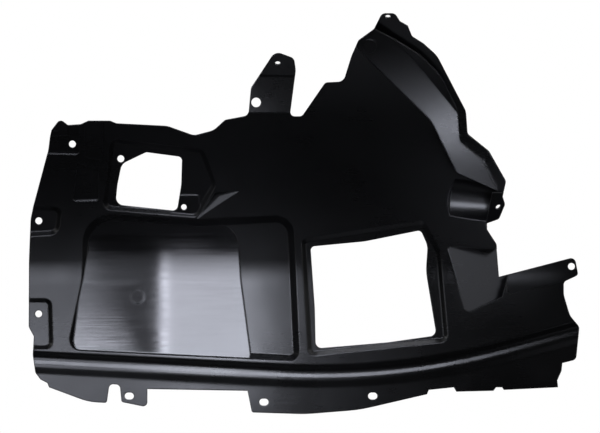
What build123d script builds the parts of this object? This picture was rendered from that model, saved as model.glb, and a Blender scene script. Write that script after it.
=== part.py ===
"""Front section of a car's wheel arch liner: one formed sheet of black polypropylene.

Frame: X along the car, Z up, the wheel on the -Y side and the car body on the +Y side.
The origin is the centre of the locating hole in the upper tab, on its wheel-side face.
Outlines are drawn as seen from the wheel, as corners (x, z, corner radius).
"""
import os
from math import cos, radians, sin, sqrt, tan

from build123d import *

# Sheet, the least radius of a bend, and how far a slope runs past the face that it cuts
SHEET = 2.4
LEAST_RADIUS = 0.8
SLOPE_LAP = 0.6

# Main arch: an upper round, a tighter bend below it and a flat that leans towards the wheel
ARCH_RADIUS = 395.0
ARCH_DEPTH = 58.0
ARCH_CENTRE_Z = -210.0
ARCH_TOP_ANGLE = 62.0
BEND_RADIUS = 80.0
BEND_TOP_ANGLE = 4.0
LOWER_LEAN = 18.0

# Rail along the bottom: a step back from the arch, a round bead and the fastening flange
RAIL_STEP = 6.5
RAIL_WALL_RUN = 6.0
BEAD_DROP = 16.0
BEAD_HEIGHT = 2.5
BEAD_FOOT_DROP = 25.0
BEAD_FOOT_DEPTH = 8.0
FLANGE_LEAN = 4.0
RAIL_ROOT_RADIUS = 6.0
BEAD_RADIUS = 9.0
BEAD_FOOT_RADIUS = 10.0
RIM_RADIUS = 4.0
RAIL_BEND_RADIUS = 800.0
RAIL_LEFT = (-340.0, -283.5)
RAIL_CORNER = (160.0, -310.0)
RAIL_RIGHT = (450.0, -232.5)

# Pocket in the lower half, and the smooth panel on its floor, which bends more gently than the arch
POCKET_DEPTH = 7.5
POCKET = [
    (-201, -128, 34), (-66, -136, 30), (43, -130, 22), (51, -300, 11), (-220, -287, 14), (-202, -200, 100)
]
PANEL_DEPTH = 7.0
PANEL_BEND_RADIUS = 132.0
PANEL_BEND_ANGLE = 8.7
PANEL = [
    (-205, -118, 5), (-22, -143, 28), (-18, -205, 120), (-5, -302, 10), (-214, -291, 16), (-204, -215, 60)
]

# Flat recessed plate round the duct window, with a low pad at its pin hole
PLATE_DEPTH = 4.5
PLATE_CENTRE = (-115, -87)
PLATE = [(-168, -42, 8), (-61, -55, 9), (-46, -95, 12), (-69, -132, 9), (-178, -123, 9)]
PIN_PAD_HEIGHT = 2.0
PIN_PAD = [(-100, -107, 0), (-67, -107, 2), (-62, -145, 0), (-100, -145, 0)]
DUCT_WINDOW = [
    (-127.5, -57.5, 4), (-86, -63, 5), (-87, -95, 60), (-92, -125.5, 6), (-163.5, -118, 9), (-161, -95, 30),
    (-156, -71, 12)
]

# Recessed rim round the large window
RIM_DEPTH = 5.0
RIM = [(52, -158, 8), (194, -136, 8), (214, -172, 20), (223, -277, 9), (60, -294, 8)]
LARGE_WINDOW = [
    (63, -167, 5), (126, -161, 69), (191, -148, 5), (199, -166, 23), (197, -196, 69), (209, -270, 7),
    (152, -278, 100), (69, -285, 7), (68, -238, 69)
]

# Raised shoulder at the upper right, the narrow hem along its outer edge, and the tapered scoop under it
SHOULDER_HEIGHT = 14.0
SHOULDER_TILT = 18.0
SHOULDER = [
    (100, 78, 5), (203, -22, 40), (232, -81, 8), (281, -103, 0), (340, -103, 0), (340, 150, 0), (100, 150, 0)
]
HEM_DEPTH = 5.0
HEM = [
    (125, 108, 0), (137, 84, 5), (161, 72, 20), (190, 54, 60), (213, 31, 60), (233, -8, 30), (236, -45, 7),
    (262, -66, 7), (281, -104, 0), (340, -104, 0), (340, 150, 0), (125, 150, 0)
]
SCOOP_START = (232, -110)
SCOOP_START_RADIUS = 30.0
SCOOP_START_DEPTH = 10.0
SCOOP_NOSE = 14.0
SCOOP_END = (312, -121)
SCOOP_END_RADIUS = 20.0
SCOOP_END_DEPTH = 18.0

# Upper tab: folded to stand upright round the locating hole, and folded back over above it
TAB = [(-14, -12, 0), (50, -12, 0), (50, 110, 0), (-14, 110, 0)]
TAB_FOLD_Z = 31.0
TAB_LEAN = 45.0
TAB_FOLD_RADIUS = 6.0

# Sunk facets: three points (x, y, z) on each facet, and the outline that bounds it
WEDGE_POINTS = [(222, 57.0, -167), (245, 45.5, -242), (284, 70.0, -200)]
WEDGE = [(221, -166, 4), (300, -171, 0), (286, -225, 0), (243, -245, 6)]
GUSSET_POINTS = [(-70, 51.0, -136), (-22, 43.5, -104), (-45, 51.0, -106)]
GUSSET = [(-48, -104, 0), (-20, -102, 0), (-38, -128, 0), (-72, -138, 0)]
LIP_POINTS = [(213, 22.0, -332), (349, 28.5, -319), (281, 29.0, -370)]
LIP = [(200, -325, 0), (410, -300, 0), (410, -410, 0), (200, -410, 0)]
FLAP_POINTS = [(274, 47.0, -122), (287.2, 43.0, -107), (282, 58.0, -130)]
FLAP = [(266, -143, 0), (274, -104, 0), (310, -104, 0), (310, -143, 0)]

# Small steps and ridges at the left and right edges
STEP_DEPTH = 3.0
LEFT_STEP_CENTRE = (-197, -93)
LEFT_STEP = [(-207, -70, 0), (-183, -78, 0), (-183, -113, 3), (-213, -114, 3)]
RIGHT_STEP = [(290, -200, 0), (410, -168, 0), (410, -196, 0), (291, -223, 4)]
RIDGE_HEIGHT = 4.0
RIDGE = [(-199, 20, 0), (-177, 20, 0), (-178, -68, 3), (-199, -63, 3)]
EAR = [(-270, -33, 0), (-228, -33, 3), (-227, 20, 0), (-270, 20, 0)]

# Flat fastener seats on the left edge
SEAT_DEPTH = 5.0
UPPER_SEAT = [(-285, -42, 0), (-219, -38, 0), (-216, 20, 0), (-205, 20, 0), (-205, -60, 4), (-285, -58, 0)]
MIDDLE_SEAT = [(-285, -118, 8), (-225, -121, 9), (-229, -153, 13), (-285, -156, 8)]
LOWER_SEAT = [(-285, -227, 8), (-237, -227, 9), (-235, -286, 9), (-285, -286, 8)]

# Holes: plain ones through the sheet along Y, tilted ones square to the face, and slots in the flange
CLIP_HOLE = 8.0
SMALL_HOLE = 6.4
LOCATING_HOLE = 11.0
UPPER_CLIP = (-213, -48)
MIDDLE_CLIP = (-252.5, -137)
LOWER_CLIP = (-252.5, -245)
PLATE_CLIP = (-157, -65)
ARM_CLIP = (366, -190)
PLATE_PIN = (-84, -121)
TAB_HOLE = (25, 45)
TOP_HOLE = (152, 94)
FLAP_HOLE = (281, -121)
SLOT_LENGTH = 10.6
SLOT_WIDTH = 8.0
SLOTS = [(-147, -340), (9, -347), (135, -340)]
HOLE_REACH = 12.0

# Plain round marks left by the moulding
MARK_RADIUS = 8.0
MARK_HEIGHT = 0.6
PANEL_MARK = (-138, -225)
SHOULDER_MARK = (131, 64)

# Outline of the sheet, stretch by stretch
LEFT_EDGE = [
    (-258, -271, 0), (-264, -260, 6), (-264, -185, 116), (-262, -135, 35), (-259, -121, 23),
    (-241, -55, 35), (-239, -40, 8), (-237, -32, 6), (-227, -19, 5), (-218, -26, 0)
]
TOP_EDGE = [
    (-203, -25, 0), (-194, -21, 0), (-169, -21, 6), (-162, -24, 6), (-103, -27, 23), (-72, -38, 14),
    (-49, -32, 20), (-36, -20, 7), (-9, -15, 7), (-6, 17, 9), (22, 59, 10), (44, 51, 7), (46, 37, 20),
    (39, -16, 5), (53, -16, 6), (80, 23, 6), (101, 24, 9), (110, 53, 35), (118, 71, 5), (136, 84, 7),
    (145, 102, 7), (160, 102, 7), (166, 93, 0), (175, 88, 0), (180, 76, 6), (193, 68, 5)
]
RIGHT_EDGE = [
    (209, 54, 30), (243, -10, 17), (245, -36, 6), (270, -56, 9), (290, -91, 7), (286, -109, 0),
    (289, -118, 6), (282, -135, 5), (268, -140, 0), (268, -147, 0), (279, -164, 6), (282, -202, 0),
    (370, -179, 6), (374, -200, 4), (357, -208, 5), (357, -223, 20), (364, -247, 20), (375, -260, 7),
    (371, -298, 6), (355, -302, 0), (354, -311, 0), (349, -322, 0), (350, -330, 0)
]
BOTTOM_EDGE = [
    (287, -333, 0), (285, -330, 0), (278, -330, 0), (275, -334, 0), (232, -335, 0), (229, -330, 0),
    (200, -333, 0), (198, -338, 0), (120, -356, 174), (57, -361, 174), (-5, -359, 3), (-10, -334, 0),
    (-126, -332, 0), (-126, -353, 5), (-156, -347, 3), (-158, -327, 5), (-170, -326, 5), (-173, -348, 3),
    (-194, -347, 69), (-240, -330, 0), (-242, -325, 0), (-250, -321, 5), (-256, -313, 7), (-259, -293, 12)
]

OUTLINE = LEFT_EDGE + TOP_EDGE + RIGHT_EDGE + BOTTOM_EDGE

# Values worked out from the sizes above
ARCH_CENTRE_Y = ARCH_DEPTH - ARCH_RADIUS
BEND_CENTRE_Y = ARCH_CENTRE_Y + (ARCH_RADIUS - BEND_RADIUS) * cos(radians(BEND_TOP_ANGLE))
BEND_CENTRE_Z = ARCH_CENTRE_Z + (ARCH_RADIUS - BEND_RADIUS) * sin(radians(BEND_TOP_ANGLE))
FLAT_TOP_Y = BEND_CENTRE_Y + BEND_RADIUS * cos(radians(LOWER_LEAN))
FLAT_TOP_Z = BEND_CENTRE_Z - BEND_RADIUS * sin(radians(LOWER_LEAN))

# Block that the faces are formed on, larger than the outline on every side
SPARE = 45.0
BLOCK_LEFT = min(x for x, *_ in OUTLINE) - SPARE
BLOCK_RIGHT = max(x for x, *_ in OUTLINE) + SPARE
BLOCK_FRONT = ARCH_CENTRE_Y + ARCH_RADIUS * cos(radians(ARCH_TOP_ANGLE)) - SPARE
BLOCK_BACK = ARCH_DEPTH + 2 * SPARE
BLOCK_FOOT = min(z for _, z, _ in OUTLINE) - SPARE
BLOCK_WIDTH = BLOCK_RIGHT - BLOCK_LEFT
CUT_BACK = ARCH_DEPTH + SPARE
RIM_MARGIN = SPARE / 9
LOWER_FLAT = Plane(
    origin=(0, FLAT_TOP_Y, FLAT_TOP_Z),
    x_dir=(1, 0, 0),
    z_dir=(0, -cos(radians(LOWER_LEAN)), sin(radians(LOWER_LEAN))),
)


def arch_side(back, bend_radius=BEND_RADIUS, bend_angle=BEND_TOP_ANGLE):
    """Everything on the car side of the arch face, with that face moved `back` into the sheet."""
    inward = ARCH_RADIUS - bend_radius
    bend_y = ARCH_CENTRE_Y + inward * cos(radians(bend_angle))
    bend_z = ARCH_CENTRE_Z + inward * sin(radians(bend_angle))
    with BuildPart() as side:
        with BuildSketch(Plane.YZ.offset(BLOCK_LEFT - 2 * back)):
            with BuildLine():
                upper = CenterArc(
                    (ARCH_CENTRE_Y, ARCH_CENTRE_Z),
                    ARCH_RADIUS + back,
                    bend_angle,
                    ARCH_TOP_ANGLE - bend_angle,
                )
                bend = CenterArc((bend_y, bend_z), bend_radius + back, -LOWER_LEAN, bend_angle + LOWER_LEAN)
                flat_length = ((bend @ 0).Y - BLOCK_FOOT + 2 * back) / cos(radians(LOWER_LEAN))
                flat = PolarLine(bend @ 0, flat_length, -90 - LOWER_LEAN)
                rear = BLOCK_BACK + 2 * back
                Polyline(flat @ 1, (rear, (flat @ 1).Y), (rear, (upper @ 1).Y), upper @ 1)
            make_face()
        extrude(amount=BLOCK_WIDTH + 4 * back)
    return side.part


def column(corners, grow=0.0):
    """A straight bar along Y through an outline, grown sideways by `grow`."""
    with BuildPart() as bar:
        with BuildSketch(Plane.XZ.offset(-CUT_BACK)):
            with BuildLine():
                FilletPolyline([(x, z) for x, z, _ in corners], radius=[r for *_, r in corners], close=True)
            make_face()
            if grow:
                offset(amount=grow, kind=Kind.INTERSECTION)
        extrude(amount=CUT_BACK - BLOCK_FRONT)
    return bar.part


def arch_face(place):
    """A plane on the upper round of the arch at a place (x, z), facing the wheel."""
    x, z = place
    across = (z - ARCH_CENTRE_Z) / ARCH_RADIUS
    along = (1 - across**2) ** 0.5
    return Plane(origin=(x, ARCH_CENTRE_Y + ARCH_RADIUS * along, z), z_dir=(0, -along, -across))


def facet(points):
    """A plane through three points (x, y, z), facing the wheel."""
    first, second, third = (Vector(*p) for p in points)
    facing = (second - first).cross(third - first)
    return Plane(origin=first, z_dir=facing if facing.Y < 0 else -facing)


def behind(face, back):
    """Everything on the car side of a flat face, moved `back` into the sheet."""
    with BuildPart() as side:
        with BuildSketch(face.offset(-back)):
            Rectangle(BLOCK_WIDTH, BLOCK_WIDTH)
        extrude(amount=-BLOCK_WIDTH)
    return side.part


def tab_side(back):
    """Everything on the car side of the folded upper tab."""
    top_z = BLOCK_WIDTH
    with BuildPart() as side:
        with BuildSketch(Plane.YZ.offset(BLOCK_LEFT)):
            with BuildLine():
                front = FilletPolyline(
                    (0, BLOCK_FOOT),
                    (0, TAB_FOLD_Z),
                    ((TAB_FOLD_Z - top_z) * tan(radians(TAB_LEAN)), top_z),
                    radius=TAB_FOLD_RADIUS,
                )
                Polyline(front @ 1, (BLOCK_BACK, top_z), (BLOCK_BACK, BLOCK_FOOT), front @ 0)
            make_face()
            if back:
                offset(amount=-back)
        extrude(amount=BLOCK_WIDTH)
    return side.part


def recess(corners, floor, grow, bevel=0.0):
    """The space in front of a floor inside an outline, bevelled where its walls meet the floor."""
    with BuildPart() as space:
        add(column(corners, grow), clean=False)
        add(floor, mode=Mode.SUBTRACT, clean=False)
        if bevel:
            chamfer(space.edges(Select.NEW), bevel)
    return space.part


def pad(corners, top, grow):
    """A raised block inside an outline, under a given top."""
    with BuildPart() as block:
        add(column(corners, grow), clean=False)
        add(top, mode=Mode.INTERSECT, clean=False)
    return block.part


def sunk(corners, floor, depth, back):
    """A recess of a given depth whose walls slope at 45 degrees down from its outline."""
    reach = depth + back + SLOPE_LAP
    return recess(corners, floor, SLOPE_LAP + back * sqrt(2), reach)


def rail_space(back):
    """The space in front of the rail: its wall, bead and flange swept along the bottom of the arch."""
    slope = cos(radians(LOWER_LEAN))
    with BuildPart() as space:
        with BuildLine(LOWER_FLAT) as path:
            corners = [(x, (z - FLAT_TOP_Z) / slope) for x, z in (RAIL_LEFT, RAIL_CORNER, RAIL_RIGHT)]
            FilletPolyline(corners, radius=RAIL_BEND_RADIUS)
        start = Plane(origin=path.line @ 0, x_dir=-LOWER_FLAT.z_dir, z_dir=path.line % 0)
        reach = CUT_BACK
        drop = BLOCK_BACK - BLOCK_FRONT
        flange_depth = BEAD_FOOT_DEPTH + (drop - BEAD_FOOT_DROP) * tan(radians(FLANGE_LEAN))
        with BuildSketch(start):
            with BuildLine():
                front = FilletPolyline(
                    (-reach, reach * RAIL_WALL_RUN / RAIL_STEP),
                    (RAIL_STEP, -RAIL_WALL_RUN),
                    (RAIL_STEP - BEAD_HEIGHT, -BEAD_DROP),
                    (BEAD_FOOT_DEPTH, -BEAD_FOOT_DROP),
                    (flange_depth, -drop),
                    radius=(RAIL_ROOT_RADIUS, BEAD_RADIUS, BEAD_FOOT_RADIUS),
                )
                Polyline(front @ 1, (-reach, -drop), front @ 0)
            make_face()
            if back:
                offset(amount=back)
        sweep(path=path.line)
    return space.part


def flat_floor(place, depth):
    """Everything on the car side of a flat floor, `depth` below the arch at a place (x, z)."""
    return behind(arch_face(place), depth)


def panel_side(back):
    """Everything on the car side of the smooth panel."""
    return arch_side(PANEL_DEPTH + back, PANEL_BEND_RADIUS, PANEL_BEND_ANGLE)


def shoulder_side(back):
    """Everything on the car side of the shoulder: the arch raised, and turned about its inner edge."""
    (x, z, _), (foot_x, foot_z, _) = SHOULDER[0], SHOULDER[2]
    top = arch_face((x, z)).origin
    bottom = arch_face((foot_x, foot_z)).origin
    return arch_side(back - SHOULDER_HEIGHT).rotate(Axis(top, bottom - top), -SHOULDER_TILT)


def scoop(back):
    """The tapered trough under the shoulder: a cone with a blunt nose, sunk deeper towards the right."""
    start = arch_face(SCOOP_START).offset(SCOOP_START_RADIUS - SCOOP_START_DEPTH).origin
    end = arch_face(SCOOP_END).offset(SCOOP_END_RADIUS - SCOOP_END_DEPTH).origin
    length = (end - start).length
    run = Plane(origin=start, x_dir=end - start, z_dir=(end - start).cross(Vector(0, 0, 1)))
    with BuildPart() as hollow:
        with BuildSketch(run):
            with BuildLine():
                Polyline(
                    (-SCOOP_NOSE - back, 0),
                    (0, SCOOP_START_RADIUS + back),
                    (length, SCOOP_END_RADIUS + back),
                    (length, 0),
                    close=True,
                )
            make_face()
        revolve(axis=Axis(run.origin, run.x_dir))
    return hollow.part


def mark(place, top):
    """A low round disc on the face of the arch at a place (x, z)."""
    with BuildPart() as disc:
        with BuildSketch(Plane.XZ.offset(-CUT_BACK)):
            with Locations(place):
                Circle(MARK_RADIUS)
        extrude(amount=CUT_BACK - BLOCK_FRONT)
        add(top, mode=Mode.INTERSECT, clean=False)
    return disc.part


def first_hollows(back):
    """The pocket, the two window surrounds and the scoop, sunk into the plain arch."""
    return [
        sunk(POCKET, arch_side(POCKET_DEPTH + back), POCKET_DEPTH, back),
        sunk(RIM, arch_side(RIM_DEPTH + back), RIM_DEPTH, back),
        sunk(PLATE, flat_floor(PLATE_CENTRE, PLATE_DEPTH + back), PLATE_DEPTH, back),
        scoop(back),
    ]


def raised_forms(back):
    """The panel, shoulder, tab, facets, ridges and low pads that stand towards the wheel."""
    forms = [
        pad(PANEL, panel_side(back), -back),
        pad(PIN_PAD, flat_floor(PLATE_CENTRE, PLATE_DEPTH - PIN_PAD_HEIGHT + back), -back),
        pad(TAB, tab_side(back), -back),
        pad(FLAP, behind(facet(FLAP_POINTS), back), -back),
        pad(WEDGE, behind(facet(WEDGE_POINTS), back), -back),
        pad(RIDGE, arch_side(back - RIDGE_HEIGHT), -back),
        pad(EAR, arch_side(back - RIDGE_HEIGHT), -back),
        pad(SHOULDER, shoulder_side(back), -back),
    ]
    if back:
        return forms
    marks = [mark(PANEL_MARK, panel_side(-MARK_HEIGHT)), mark(SHOULDER_MARK, shoulder_side(-MARK_HEIGHT))]
    return forms + marks


def last_hollows(back):
    """The seats, hem, steps, folded tab and facets that lie towards the car."""
    forms = [
        sunk(LOWER_SEAT, arch_side(SEAT_DEPTH + back), SEAT_DEPTH, back),
        sunk(MIDDLE_SEAT, flat_floor(MIDDLE_CLIP, SEAT_DEPTH + back), SEAT_DEPTH, back),
        recess(UPPER_SEAT, flat_floor(UPPER_CLIP, SEAT_DEPTH + back), back),
        recess(HEM, arch_side(HEM_DEPTH + back), back),
        recess(RIGHT_STEP, arch_side(STEP_DEPTH + back), back),
        recess(LEFT_STEP, flat_floor(LEFT_STEP_CENTRE, STEP_DEPTH + back), back),
        recess(TAB, tab_side(back), back),
    ]
    facets = ((WEDGE, WEDGE_POINTS), (GUSSET, GUSSET_POINTS), (LIP, LIP_POINTS), (FLAP, FLAP_POINTS))
    return forms + [recess(corners, behind(facet(points), back), back) for corners, points in facets]


def formed_side(back):
    """Everything on the car side of the formed face that lies `back` into the sheet."""
    arch = arch_side(back)
    rail = rail_space(back)
    sunk_first = first_hollows(back)
    raised = raised_forms(back)
    sunk_last = last_hollows(back)
    with BuildPart() as side:
        add(arch, clean=False)
        add(rail, mode=Mode.SUBTRACT, clean=False)
        rim = side.edges(Select.NEW).filter_by_position(
            Axis.X, BLOCK_LEFT + RIM_MARGIN, BLOCK_RIGHT - RIM_MARGIN
        )
        rim = rim.filter_by_position(Axis.Z, BLOCK_FOOT + RIM_MARGIN, 0)
        fillet(rim, max(RIM_RADIUS - back, LEAST_RADIUS))
        add(sunk_first, mode=Mode.SUBTRACT, clean=False)
        add(raised, clean=False)
        add(sunk_last, mode=Mode.SUBTRACT, clean=False)
    return side.part


def holes():
    """The fastener holes and slots as solid plugs."""
    tab_x, tab_z = TAB_HOLE
    tab_face = Plane(
        origin=(tab_x, (TAB_FOLD_Z - tab_z) * tan(radians(TAB_LEAN)), tab_z),
        z_dir=(0, -cos(radians(TAB_LEAN)), -sin(radians(TAB_LEAN))),
    )
    flap = facet(FLAP_POINTS)
    flap_x, flap_z = FLAP_HOLE
    flap_slope = flap.z_dir.X * (flap_x - flap.origin.X) + flap.z_dir.Z * (flap_z - flap.origin.Z)
    flap_face = Plane(
        origin=(flap_x, flap.origin.Y - flap_slope / flap.z_dir.Y, flap_z),
        z_dir=flap.z_dir,
    )
    with BuildPart() as plugs:
        with BuildSketch(Plane.XZ.offset(-CUT_BACK)):
            Circle(LOCATING_HOLE / 2)
            with Locations(UPPER_CLIP, MIDDLE_CLIP, LOWER_CLIP, PLATE_CLIP, ARM_CLIP):
                Circle(CLIP_HOLE / 2)
            with Locations(PLATE_PIN):
                Circle(SMALL_HOLE / 2)
            with Locations(*SLOTS):
                SlotOverall(SLOT_LENGTH, SLOT_WIDTH)
        extrude(amount=CUT_BACK - BLOCK_FRONT)
        for face in (tab_face, arch_face(TOP_HOLE), flap_face):
            with BuildSketch(face.offset(-HOLE_REACH)):
                Circle(SMALL_HOLE / 2)
            extrude(amount=2 * HOLE_REACH)
    return plugs.part


front = formed_side(0)
rear = formed_side(SHEET)
outline = column(OUTLINE)
openings = [column(DUCT_WINDOW), column(LARGE_WINDOW), holes()]

with BuildPart() as liner:
    add(front, clean=False)
    add(rear, mode=Mode.SUBTRACT, clean=False)
    add(outline, mode=Mode.INTERSECT, clean=False)
    add(openings, mode=Mode.SUBTRACT, clean=False)

os.makedirs("parts", exist_ok=True)
liner.part.label = "liner"
export_step(liner.part, "parts/liner.step")
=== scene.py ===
"""Dresses the wheel arch liner: one formed sheet of black plastic, lit in a small photo studio.

The sheet hangs upright in the frame it was modelled in, with its wheel side towards -Y. Every
measure is in metres.
"""

import logging
import math
from dataclasses import dataclass, field
from enum import Enum
from typing import Any, Sequence

import bpy
from mathutils import Matrix, Vector

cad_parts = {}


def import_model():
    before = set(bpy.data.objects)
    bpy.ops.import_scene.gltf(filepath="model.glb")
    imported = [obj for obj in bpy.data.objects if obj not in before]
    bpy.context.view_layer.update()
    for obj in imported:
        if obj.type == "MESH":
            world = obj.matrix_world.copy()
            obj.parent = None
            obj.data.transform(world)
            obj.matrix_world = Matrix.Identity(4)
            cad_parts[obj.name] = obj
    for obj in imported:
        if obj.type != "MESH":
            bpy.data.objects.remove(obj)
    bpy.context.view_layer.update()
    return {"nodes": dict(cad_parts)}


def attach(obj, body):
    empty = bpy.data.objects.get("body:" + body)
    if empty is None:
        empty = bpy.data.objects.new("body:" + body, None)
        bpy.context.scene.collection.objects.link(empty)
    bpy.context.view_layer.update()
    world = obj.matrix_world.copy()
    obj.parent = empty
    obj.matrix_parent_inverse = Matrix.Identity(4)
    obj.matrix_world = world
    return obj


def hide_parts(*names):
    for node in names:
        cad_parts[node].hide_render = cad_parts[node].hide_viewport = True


log = logging.getLogger("arch_liner")

Colour = tuple[float, float, float]
Point = tuple[float, float, float]
Pair = tuple[float, float]

PHOTO_WIDTH = 600
PHOTO_HEIGHT = 433
METRES_A_PIXEL = 1.157e-3

WHITE: Colour = (1.0, 1.0, 1.0)
BLACK: Colour = (0.0, 0.0, 0.0)
COOL_WHITE: Colour = (0.915, 0.95, 1.09)


class SheetZone(Enum):
    """The two surfaces that the mould leaves on the sheet, by material index."""

    SHELL = 0
    PANEL = 1


class Wave(Enum):
    """How a grain runs over a finish."""

    EVEN = "even"
    STREAKED = "streaked"


class Throw(Enum):
    """How wide a lamp throws its light, as the full angle of its beam."""

    OPEN = math.radians(70.0)
    GRID = math.radians(50.0)
    SNOOT = math.radians(40.0)
    SPOT = math.radians(12.0)


@dataclass(frozen=True)
class Noise:
    """The character of a noise: its finer layers, how much they count, and its middle value."""

    detail: float
    roughness: float = 0.5
    middle: float = 0.5


CLOUDS = Noise(detail=5.0, roughness=0.6)
SCUFFS = Noise(detail=4.0, roughness=0.7)
RIPPLES = Noise(detail=1.0)
STREAKS = Noise(detail=3.0, roughness=0.55)


def clear_selection() -> None:
    """Deselects every object, so that an operator acts only on what is picked next."""
    bpy.ops.object.select_all(action="DESELECT")


def pick(thing: bpy.types.Object) -> None:
    """Makes one object the only selected and the active one.

    Args:
        thing: the object to pick.
    """
    clear_selection()
    thing.select_set(True)
    bpy.context.view_layer.objects.active = thing


def opaque(colour: Colour) -> tuple[float, float, float, float]:
    """Adds full cover to a colour, as a node's colour needs it."""
    return (*colour, 1.0)


class NodeSketch:
    """A small helper that lays out the nodes of one material or world."""

    column_width = 220

    def __init__(self, tree: bpy.types.NodeTree) -> None:
        """Starts from an empty tree.

        Args:
            tree: the node tree to fill.
        """
        self.tree = tree
        self.tree.nodes.clear()
        self.column = 0

    def add(self, kind: str, **settings: Any) -> bpy.types.Node:
        """Adds a node and sets its properties and input sockets.

        Args:
            kind: the node's type name.
            settings: properties by name, or sockets by name with spaces as underscores.

        Returns:
            The new node.
        """
        node = self.tree.nodes.new(kind)
        node.location = (self.column_width * self.column, 0)
        self.column += 1
        for name, value in settings.items():
            if hasattr(node, name):
                setattr(node, name, value)
            else:
                node.inputs[name.replace("_", " ")].default_value = value
        return node

    def join(self, source: bpy.types.NodeSocket, target: bpy.types.NodeSocket) -> None:
        """Links an output socket to an input socket."""
        self.tree.links.new(source, target)

    def combine(self, operation: str, *terms: bpy.types.NodeSocket | float) -> bpy.types.NodeSocket:
        """Adds a maths node.

        Args:
            operation: what the node works out.
            terms: what its inputs take in order, each a socket to link or a plain number.

        Returns:
            The result.
        """
        node = self.add("ShaderNodeMath", operation=operation)
        for term, target in zip(terms, node.inputs):
            if isinstance(term, bpy.types.NodeSocket):
                self.join(term, target)
            else:
                target.default_value = term
        return node.outputs["Value"]

    def stretch(self, place: bpy.types.NodeSocket, scale: Point) -> bpy.types.NodeSocket:
        """Scales coordinates by a different amount along each axis.

        Args:
            place: the coordinates.
            scale: the scale along x, y and z.

        Returns:
            The scaled coordinates.
        """
        mapping = self.add("ShaderNodeMapping", Scale=scale)
        self.join(place, mapping.inputs["Vector"])
        return mapping.outputs["Vector"]

    def noise(
        self, place: bpy.types.NodeSocket, kind: Noise, scale: float = 1.0
    ) -> bpy.types.NodeSocket:
        """Adds a noise.

        Args:
            place: the coordinates that it is read at.
            kind: its character.
            scale: how many of its waves one unit of the coordinates holds.

        Returns:
            The noise, about its middle value.
        """
        texture = self.add(
            "ShaderNodeTexNoise", Scale=scale, Detail=kind.detail, Roughness=kind.roughness
        )
        self.join(place, texture.inputs["Vector"])
        return texture.outputs["Fac"]

    def blend(
        self,
        share: bpy.types.NodeSocket,
        first: bpy.types.NodeSocket,
        second: bpy.types.NodeSocket,
    ) -> bpy.types.NodeSocket:
        """Mixes two shaders.

        Args:
            share: how much of the second shader shows, from 0 to 1.
            first: the shader at a share of 0.
            second: the shader at a share of 1.

        Returns:
            The mixed shader.
        """
        mixed = self.add("ShaderNodeMixShader")
        for source, target in zip((share, first, second), mixed.inputs):
            self.join(source, target)
        return mixed.outputs["Shader"]


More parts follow.
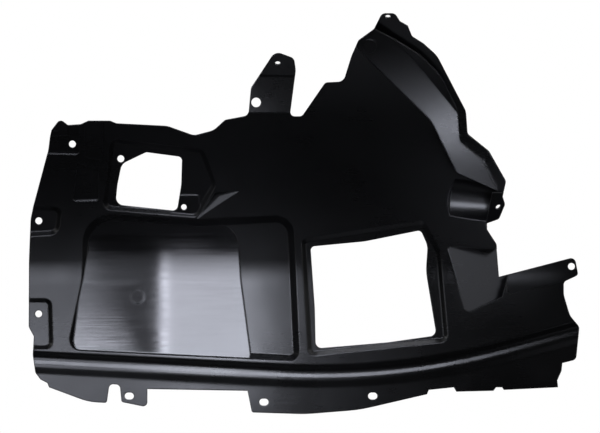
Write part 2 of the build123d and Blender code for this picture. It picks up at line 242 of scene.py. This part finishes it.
@dataclass(frozen=True)
class PlasticFinish:
    """Black moulded plastic with a fine grain, cloudy gloss and paler worn edges."""

    name: str
    colour: Colour
    dusty_colour: Colour
    edge_colour: Colour
    roughness_low: float
    roughness_high: float
    grain_scale: Point
    grain_relief: float
    grain_strength: float
    ripple_scale: float
    ripple_relief: float
    wave: Wave = Wave.EVEN
    grain_softness: float = 0.6
    brushed: float = 0.0
    brush_turns: float = 0.25
    refraction: float = 1.5
    edge_radius: float = 0.0020
    edge_samples: int = 6
    edge_rub: float = 0.6
    rub_limits: Pair = (0.97, 0.78)
    cloud_scale: float = 9.0
    dust_limits: Pair = (0.35, 0.8)
    scuff_scale: Point = (14.0, 60.0, 240.0)
    scuff_share: float = 0.35
    gloss_reach: Pair = (0.22, 0.28)

    def make(self) -> bpy.types.Material:
        """Builds the finish as a node material on object coordinates.

        Returns:
            The material.
        """
        material = bpy.data.materials.new(self.name)
        material.use_nodes = True
        nodes = NodeSketch(material.node_tree)
        place = nodes.add("ShaderNodeTexCoord").outputs["Object"]
        shader = nodes.add(
            "ShaderNodeBsdfPrincipled",
            IOR=self.refraction,
            Anisotropic=self.brushed,
            Anisotropic_Rotation=self.brush_turns,
        )
        if self.brushed:
            along = nodes.add("ShaderNodeTangent", direction_type="RADIAL", axis="Z")
            nodes.join(along.outputs["Tangent"], shader.inputs["Tangent"])
        end = nodes.add("ShaderNodeOutputMaterial")
        nodes.join(shader.outputs["BSDF"], end.inputs["Surface"])

        clouds = nodes.noise(place, CLOUDS, self.cloud_scale)
        self._gloss(nodes, place, clouds, shader)
        rounding = nodes.add("ShaderNodeBevel", samples=self.edge_samples, Radius=self.edge_radius)
        soft_edge = rounding.outputs["Normal"]
        self._tint(nodes, clouds, soft_edge, shader)
        self._relief(nodes, place, soft_edge, shader)
        return material

    def _gloss(
        self,
        nodes: NodeSketch,
        place: bpy.types.NodeSocket,
        clouds: bpy.types.NodeSocket,
        shader: bpy.types.Node,
    ) -> None:
        """Varies the roughness in soft clouds, crossed by scuffs.

        Args:
            nodes: the material's nodes.
            place: the object coordinates.
            clouds: the slow noise that the tint also uses.
            shader: the shader to feed.
        """
        scuffs = nodes.noise(nodes.stretch(place, self.scuff_scale), SCUFFS)
        both = nodes.combine("MULTIPLY_ADD", scuffs, self.scuff_share, clouds)
        middle = CLOUDS.middle + SCUFFS.middle * self.scuff_share
        below, above = self.gloss_reach
        roughness = nodes.add(
            "ShaderNodeMapRange",
            From_Min=middle - below,
            From_Max=middle + above,
            To_Min=self.roughness_low,
            To_Max=self.roughness_high,
        )
        nodes.join(both, roughness.inputs["Value"])
        nodes.join(roughness.outputs["Result"], shader.inputs["Roughness"])

    def _tint(
        self,
        nodes: NodeSketch,
        clouds: bpy.types.NodeSocket,
        soft_edge: bpy.types.NodeSocket,
        shader: bpy.types.Node,
    ) -> None:
        """Tints the plastic: faint dust in clouds and a paler rub along the edges.

        Args:
            nodes: the material's nodes.
            clouds: the slow noise.
            soft_edge: the normal, rounded near an edge.
            shader: the shader to feed.
        """
        dust = nodes.add("ShaderNodeValToRGB")
        tints = (self.colour, self.dusty_colour)
        for stop, position, tint in zip(dust.color_ramp.elements, self.dust_limits, tints):
            stop.position = position
            stop.color = opaque(tint)
        nodes.join(clouds, dust.inputs["Fac"])

        surface = nodes.add("ShaderNodeNewGeometry")
        turn = nodes.add("ShaderNodeVectorMath", operation="DOT_PRODUCT")
        nodes.join(soft_edge, turn.inputs[0])
        nodes.join(surface.outputs["Normal"], turn.inputs[1])
        clean, rubbed = self.rub_limits
        rub = nodes.add(
            "ShaderNodeMapRange", From_Min=clean, From_Max=rubbed, To_Min=0.0, To_Max=self.edge_rub
        )
        nodes.join(turn.outputs["Value"], rub.inputs["Value"])
        worn = nodes.add("ShaderNodeMix", data_type="RGBA")
        plain, edge = (socket for socket in worn.inputs if socket.type == "RGBA")
        edge.default_value = opaque(self.edge_colour)
        nodes.join(rub.outputs["Result"], worn.inputs["Factor"])
        nodes.join(dust.outputs["Color"], plain)
        result = next(socket for socket in worn.outputs if socket.type == "RGBA")
        nodes.join(result, shader.inputs["Base Color"])

    def _relief(
        self,
        nodes: NodeSketch,
        place: bpy.types.NodeSocket,
        soft_edge: bpy.types.NodeSocket,
        shader: bpy.types.Node,
    ) -> None:
        """Adds the fine grain over a slow waviness of the moulded face.

        Args:
            nodes: the material's nodes.
            place: the object coordinates.
            soft_edge: the normal, rounded near an edge.
            shader: the shader to feed.
        """
        waviness = nodes.add("ShaderNodeBump", Strength=1.0, Distance=self.ripple_relief)
        nodes.join(nodes.noise(place, RIPPLES, self.ripple_scale), waviness.inputs["Height"])
        nodes.join(soft_edge, waviness.inputs["Normal"])

        scaled = nodes.stretch(place, self.grain_scale)
        if self.wave is Wave.STREAKED:
            height = nodes.noise(scaled, STREAKS)
        else:
            pebbles = nodes.add(
                "ShaderNodeTexVoronoi",
                feature="SMOOTH_F1",
                Scale=1.0,
                Smoothness=self.grain_softness,
            )
            nodes.join(scaled, pebbles.inputs["Vector"])
            height = pebbles.outputs["Distance"]
        skin = nodes.add("ShaderNodeBump", Strength=self.grain_strength, Distance=self.grain_relief)
        nodes.join(height, skin.inputs["Height"])
        nodes.join(waviness.outputs["Normal"], skin.inputs["Normal"])
        nodes.join(skin.outputs["Normal"], shader.inputs["Normal"])


SHELL_FINISH = PlasticFinish(
    name="satin_black_shell",
    colour=(0.0018, 0.0018, 0.0020),
    dusty_colour=(0.0042, 0.0042, 0.0047),
    edge_colour=(0.020, 0.020, 0.022),
    roughness_low=0.25,
    roughness_high=0.33,
    grain_scale=(1100.0, 1100.0, 1100.0),
    grain_relief=0.00002,
    grain_strength=0.2,
    ripple_scale=22.0,
    ripple_relief=0.0004,
)

BRUSH_LINES: Point = (16.0, 120.0, 420.0)

PANEL_FINISH = PlasticFinish(
    name="smooth_black_panel",
    colour=(0.0018, 0.0018, 0.0020),
    dusty_colour=(0.0040, 0.0040, 0.0045),
    edge_colour=(0.016, 0.016, 0.018),
    roughness_low=0.055,
    roughness_high=0.150,
    grain_scale=BRUSH_LINES,
    grain_relief=0.00005,
    grain_strength=0.6,
    ripple_scale=16.0,
    ripple_relief=0.00012,
    wave=Wave.STREAKED,
    brushed=0.95,
    scuff_scale=BRUSH_LINES,
    scuff_share=1.0,
)


@dataclass
class ArchForm:
    """A face the sheet follows: a round, a bend below it and a leaning flat, perhaps turned."""

    bend_radius: float = 0.080
    bend_top_angle: float = math.radians(4.0)
    round_radius: float = 0.395
    round_centre_y: float = -0.337
    round_centre_z: float = -0.210
    lower_lean: float = math.radians(18.0)
    turn: Matrix = field(default_factory=lambda: Matrix.Identity(4))

    def point(self, x: float, z: float) -> Vector:
        """Finds the place on the upper round at a given x and z.

        Args:
            x: the place along the car.
            z: the height.

        Returns:
            The point on the face.
        """
        rise = z - self.round_centre_z
        return Vector((x, self.round_centre_y + math.sqrt(self.round_radius**2 - rise**2), z))

    def probe(self, place: Vector) -> tuple[float, Vector]:
        """Measures a place against the face.

        Args:
            place: a point on the sheet.

        Returns:
            The depth behind the face, negative in front of it, and the direction towards the car.
        """
        local = self.turn.inverted() @ place
        inward = self.round_radius - self.bend_radius
        bend_y = self.round_centre_y + inward * math.cos(self.bend_top_angle)
        bend_z = self.round_centre_z + inward * math.sin(self.bend_top_angle)
        out = Vector((0.0, local.y - bend_y, local.z - bend_z))
        angle = math.atan2(out.z, out.y)
        if angle > self.bend_top_angle:
            out = Vector((0.0, local.y - self.round_centre_y, local.z - self.round_centre_z))
            depth = out.length - self.round_radius
        elif angle > -self.lower_lean:
            depth = out.length - self.bend_radius
        else:
            across = Vector((0.0, math.cos(self.lower_lean), -math.sin(self.lower_lean)))
            depth = out.dot(across) - self.bend_radius
            out = across
        return depth, (self.turn.to_3x3() @ out).normalized()


def gentle_form() -> ArchForm:
    """Gives the face that the raised panel follows, whose bend is rounder than the arch's."""
    return ArchForm(bend_radius=0.132, bend_top_angle=math.radians(8.7))


@dataclass
class LinerSheet:
    """The formed sheet: a merged copy of the solid's mesh with two moulded finishes."""

    node: bpy.types.Object
    shell: PlasticFinish = SHELL_FINISH
    panel: PlasticFinish = PANEL_FINISH
    arch_form: ArchForm = field(default_factory=ArchForm)
    panel_form: ArchForm = field(default_factory=gentle_form)
    shoulder_top: Pair = (0.100, 0.078)
    shoulder_foot: Pair = (0.232, -0.081)
    shoulder_tilt: float = math.radians(-18.0)
    merge_gap: float = 1.0e-5
    crease_angle: float = math.radians(20.0)
    level_gap: float = 3.0e-5
    panel_left: float = -0.222
    panel_right: float = 0.0
    panel_foot: float = -0.306
    panel_top: float = -0.116
    panel_depths: Pair = (0.0060, 0.0074)
    piece: bpy.types.Object | None = None

    def build(self) -> bpy.types.Object:
        """Copies the solid's triangles into one piece, welds them and smooths its faces.

        Returns:
            The finished piece.
        """
        mesh = self.node.data.copy()
        mesh.name = "liner_sheet"
        self.piece = bpy.data.objects.new("liner_sheet", mesh)
        bpy.context.collection.objects.link(self.piece)
        pick(self.piece)
        bpy.ops.object.mode_set(mode="EDIT")
        bpy.ops.mesh.select_all(action="SELECT")
        bpy.ops.mesh.remove_doubles(threshold=self.merge_gap)
        bpy.ops.mesh.customdata_custom_splitnormals_clear()
        bpy.ops.object.mode_set(mode="OBJECT")
        bpy.ops.object.shade_smooth_by_angle(angle=self.crease_angle)
        self._true_curves()
        return self.piece

    def shoulder_form(self) -> ArchForm:
        """Turns the arch about the shoulder's inner edge.

        Returns:
            The face that the shoulder follows.
        """
        top = self.arch_form.point(*self.shoulder_top)
        foot = self.arch_form.point(*self.shoulder_foot)
        tilt = Matrix.Rotation(self.shoulder_tilt, 4, foot - top)
        return ArchForm(turn=Matrix.Translation(top) @ tilt @ Matrix.Translation(-top))

    def _true_curves(self) -> None:
        """Gives the triangles that lie level with a curved form that form's own smooth normals."""
        mesh = self.piece.data
        forms = (self.arch_form, self.panel_form, self.shoulder_form())
        # A zero normal leaves a corner as the crease angle shaded it.
        normals = [Vector((0.0, 0.0, 0.0))] * len(mesh.loops)
        for face in mesh.polygons:
            for form in forms:
                probes = [form.probe(mesh.vertices[i].co) for i in face.vertices]
                depths = [depth for depth, _ in probes]
                if max(depths) - min(depths) > self.level_gap:
                    continue
                for loop, (_, towards_car) in zip(face.loop_indices, probes):
                    faces_car = face.normal.dot(towards_car) > 0
                    normals[loop] = towards_car if faces_car else -towards_car
                break
        mesh.normals_split_custom_set(normals)

    def zone(self, face: bpy.types.MeshPolygon) -> SheetZone:
        """Tells which finish a face of the sheet takes.

        Args:
            face: a face of the piece.

        Returns:
            PANEL on the raised panel's wheel side, and SHELL elsewhere.
        """
        middle = face.center
        if not self.panel_left < middle.x < self.panel_right:
            return SheetZone.SHELL
        if not self.panel_foot < middle.z < self.panel_top or face.normal.y > 0:
            return SheetZone.SHELL
        nearest, furthest = self.panel_depths
        depths = [self.panel_form.probe(self.piece.data.vertices[i].co)[0] for i in face.vertices]
        if nearest < min(depths) and max(depths) < furthest:
            return SheetZone.PANEL
        return SheetZone.SHELL

    def dress(self) -> None:
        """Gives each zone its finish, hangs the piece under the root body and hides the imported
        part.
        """
        mesh = self.piece.data
        mesh.materials.clear()
        mesh.materials.append(self.shell.make())
        mesh.materials.append(self.panel.make())
        for face in mesh.polygons:
            face.material_index = self.zone(face).value
        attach(self.piece, "root")
        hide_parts("liner")


@dataclass(frozen=True)
class Softbox:
    """A rectangular studio lamp aimed at a point, hidden from the camera."""

    name: str
    place: Point
    aim: Point
    width: float
    height: float
    radiance: float
    throw: Throw = Throw.OPEN
    colour: Colour = COOL_WHITE

    def hang(self) -> bpy.types.Object:
        """Adds the lamp to the scene.

        Returns:
            The lamp's object.
        """
        lamp = bpy.data.lights.new(self.name, "AREA")
        lamp.shape = "RECTANGLE"
        lamp.size = self.width
        lamp.size_y = self.height
        lamp.spread = self.throw.value
        lamp.color = self.colour
        # A narrow throw gathers the lamp's power into its beam, so that gain is divided out.
        half = self.throw.value / 2
        gathered = math.tan(half) / (math.tan(half) - half)
        lamp.energy = self.radiance * math.pi * self.width * self.height / gathered
        holder = bpy.data.objects.new(self.name, lamp)
        bpy.context.collection.objects.link(holder)
        holder.visible_camera = False
        holder.location = self.place
        facing = Vector(self.aim) - Vector(self.place)
        holder.rotation_euler = facing.to_track_quat("-Z", "Y").to_euler()
        return holder


# The raised panel and the sheet to its left.
PANEL_LAMPS = (
    Softbox(
        name="key_softbox",
        place=(-0.056, -0.251, -0.063),
        aim=(-0.056, 0.042, -0.254),
        width=0.116,
        height=0.20,
        radiance=13.0,
    ),
    Softbox(
        name="edge_softbox",
        place=(-0.111, -0.247, -0.065),
        aim=(-0.111, 0.046, -0.256),
        width=0.012,
        height=0.20,
        radiance=9.0,
    ),
    Softbox(
        name="panel_softbox",
        place=(-0.165, -1.10, 0.35),
        aim=(-0.165, 0.05, -0.20),
        width=0.10,
        height=0.90,
        radiance=1.0,
    ),
    Softbox(
        name="left_softbox",
        place=(-0.37, -1.15, 0.30),
        aim=(-0.27, 0.05, -0.20),
        width=0.30,
        height=1.10,
        radiance=6.6,
    ),
    Softbox(
        name="low_left_softbox",
        place=(-0.21, -0.952, 0.40),
        aim=(-0.21, 0.035, -0.335),
        width=0.10,
        height=0.07,
        radiance=18.0,
        throw=Throw.SPOT,
    ),
)

# The rail along the bottom, the shoulder, the sunk wedge and gusset, and the scoop.
FORM_LAMPS = (
    Softbox(
        name="rail_softbox",
        place=(-0.08, -0.52, 0.64),
        aim=(-0.09, -0.21, -0.31),
        width=0.50,
        height=0.20,
        radiance=46.0,
        throw=Throw.SNOOT,
    ),
    Softbox(
        name="shoulder_softbox",
        place=(0.499, -0.412, -0.334),
        aim=(0.20, 0.0, -0.015),
        width=0.12,
        height=0.06,
        radiance=24.0,
        throw=Throw.GRID,
    ),
    Softbox(
        name="low_right_softbox",
        place=(0.72, -0.79, -0.42),
        aim=(0.25, 0.02, -0.075),
        width=0.25,
        height=0.25,
        radiance=1.4,
        throw=Throw.GRID,
    ),
    Softbox(
        name="right_softbox",
        place=(0.96, -0.76, 0.33),
        aim=(0.25, 0.05, -0.20),
        width=0.40,
        height=0.40,
        radiance=1.3,
    ),
    Softbox(
        name="far_left_softbox",
        place=(-0.75, -0.73, 0.47),
        aim=(-0.045, 0.05, -0.11),
        width=0.30,
        height=0.30,
        radiance=3.6,
    ),
    Softbox(
        name="scoop_softbox",
        place=(0.319, -0.21, -0.071),
        aim=(0.248, 0.056, -0.12),
        width=0.08,
        height=0.10,
        radiance=16.0,
        throw=Throw.SNOOT,
    ),
)

# The floor in front of the sheet, and the sheet's rear.
ROOM_LAMPS = (
    Softbox(
        name="floor_softbox",
        place=(0.0, -2.50, 0.55),
        aim=(0.0, -2.51, -0.95),
        width=1.60,
        height=0.80,
        radiance=2.0,
    ),
    Softbox(
        name="rear_top_softbox",
        place=(0.0, 0.80, 1.05),
        aim=(0.0, 0.05, 0.0),
        width=0.90,
        height=0.25,
        radiance=6.0,
    ),
    Softbox(
        name="rear_low_softbox",
        place=(0.0, 0.95, -0.80),
        aim=(0.0, 0.05, -0.25),
        width=1.40,
        height=0.30,
        radiance=4.0,
    ),
    Softbox(
        name="rear_left_softbox",
        place=(-0.85, 0.70, 0.60),
        aim=(0.0, 0.05, 0.0),
        width=0.30,
        height=0.40,
        radiance=5.0,
    ),
    Softbox(
        name="rear_right_softbox",
        place=(0.85, 0.70, 0.60),
        aim=(0.0, 0.05, 0.0),
        width=0.30,
        height=0.40,
        radiance=5.0,
    ),
)


@dataclass
class Studio:
    """The white room: a floor well below the sheet, a backdrop and the lamps.

    The sheet mirrors white walls behind it and at its sides. The walls' limits are the parts of a
    direction that point backwards and sideways, and each wall fades in and out between its own.
    """

    floor_height: float = -0.95
    floor_side: float = 6.0
    floor_colour: Colour = (0.45, 0.45, 0.45)
    floor_glow: float = 0.80
    dim_level: float = 0.035
    white_level: float = 1.0
    rear_wall: Pair = (0.15, 0.45)
    side_walls: tuple[float, ...] = (0.66, 0.74, 0.84, 0.90)
    lamps: Sequence[Softbox] = PANEL_LAMPS + FORM_LAMPS + ROOM_LAMPS

    def build(self) -> None:
        """Sets up the backdrop, the floor and the lamps."""
        self._backdrop()
        self._floor()
        for lamp in self.lamps:
            lamp.hang()

    def _walls(self, nodes: NodeSketch) -> bpy.types.NodeSocket:
        """Marks the directions in which the sheet mirrors a white wall.

        Args:
            nodes: the world's nodes.

        Returns:
            The share of white, from 0 to 1.
        """
        direction = nodes.add("ShaderNodeTexCoord").outputs["Generated"]
        split = nodes.add("ShaderNodeSeparateXYZ")
        nodes.join(direction, split.inputs["Vector"])
        fade_start, fade_end = self.rear_wall
        behind = nodes.add("ShaderNodeMapRange", From_Min=fade_start, From_Max=fade_end)
        nodes.join(split.outputs["Y"], behind.inputs["Value"])

        beside = nodes.add("ShaderNodeValToRGB")
        stops = beside.color_ramp.elements
        stops[0].position, stops[1].position = self.side_walls[0], self.side_walls[-1]
        stops[0].color = stops[1].color = opaque(BLACK)
        for reach in self.side_walls[1:-1]:
            stops.new(reach).color = opaque(WHITE)
        nodes.join(nodes.combine("ABSOLUTE", split.outputs["X"]), beside.inputs["Fac"])
        return nodes.combine("MAXIMUM", behind.outputs["Result"], beside.outputs["Color"])

    def _backdrop(self) -> None:
        """Makes the world white to the camera, white-walled to reflections and dim elsewhere."""
        world = bpy.data.worlds.new("white_room")
        bpy.context.scene.world = world
        world.use_nodes = True
        nodes = NodeSketch(world.node_tree)
        rays = nodes.add("ShaderNodeLightPath").outputs
        mirrored = nodes.combine("MAXIMUM", rays["Is Glossy Ray"], rays["Is Transmission Ray"])
        seen_walls = nodes.combine("MULTIPLY", mirrored, self._walls(nodes))
        white_share = nodes.combine("MAXIMUM", seen_walls, rays["Is Camera Ray"])
        dim, white = (
            nodes.add("ShaderNodeBackground", Color=opaque(WHITE), Strength=level)
            for level in (self.dim_level, self.white_level)
        )
        room = nodes.blend(white_share, dim.outputs["Background"], white.outputs["Background"])
        end = nodes.add("ShaderNodeOutputWorld")
        nodes.join(room, end.inputs["Surface"])

    def _floor(self) -> None:
        """Lays the floor, pale to the camera, which keeps the sheet's shadow."""
        clear_selection()
        bpy.ops.mesh.primitive_plane_add(size=self.floor_side, location=(0, 0, self.floor_height))
        floor = bpy.context.active_object
        floor.name = "studio_floor"
        material = bpy.data.materials.new("pale_floor")
        material.use_nodes = True
        nodes = NodeSketch(material.node_tree)
        rays = nodes.add("ShaderNodeLightPath").outputs
        share = nodes.combine("MULTIPLY", rays["Is Camera Ray"], self.floor_glow)
        matt = nodes.add("ShaderNodeBsdfDiffuse", Color=opaque(self.floor_colour))
        pale = nodes.add("ShaderNodeEmission", Color=opaque(WHITE), Strength=self.white_level)
        surface = nodes.blend(share, matt.outputs["BSDF"], pale.outputs["Emission"])
        end = nodes.add("ShaderNodeOutputMaterial")
        nodes.join(surface, end.inputs["Surface"])
        floor.data.materials.append(material)


@dataclass
class PhotoCamera:
    """A long lens square to the sheet, framed as the photograph is."""

    distance: float = 16.0
    origin_pixel: Pair = (256.1, 102.4)
    sensor_width: float = 36.0
    clip_reach: float = 4.0
    level_turn: float = math.radians(90.0)

    def place(self) -> bpy.types.Object:
        """Adds the camera and makes it the scene's own.

        Returns:
            The camera's object.
        """
        view_width = PHOTO_WIDTH * METRES_A_PIXEL
        camera = bpy.data.cameras.new("photo_camera")
        camera.sensor_width = self.sensor_width
        camera.lens = self.sensor_width * self.distance / view_width
        camera.clip_end = self.clip_reach * self.distance
        holder = bpy.data.objects.new("photo_camera", camera)
        bpy.context.collection.objects.link(holder)
        across = (PHOTO_WIDTH / 2 - self.origin_pixel[0]) * METRES_A_PIXEL
        up = (self.origin_pixel[1] - PHOTO_HEIGHT / 2) * METRES_A_PIXEL
        holder.location = (across, -self.distance, up)
        holder.rotation_euler = (self.level_turn, 0.0, 0.0)
        bpy.context.scene.camera = holder
        return holder


def main() -> None:
    """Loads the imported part, dresses the sheet, and sets up the room and the camera."""
    logging.basicConfig(level=logging.INFO, format="%(name)s: %(message)s")
    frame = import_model()
    clear_selection()
    bpy.context.scene.view_settings.view_transform = "Standard"

    sheet = LinerSheet(frame["nodes"]["liner"])
    sheet.build()
    sheet.dress()
    log.info("%s has %d faces", sheet.piece.name, len(sheet.piece.data.polygons))

    Studio().build()
    PhotoCamera().place()


if __name__ == "__main__":
    main()
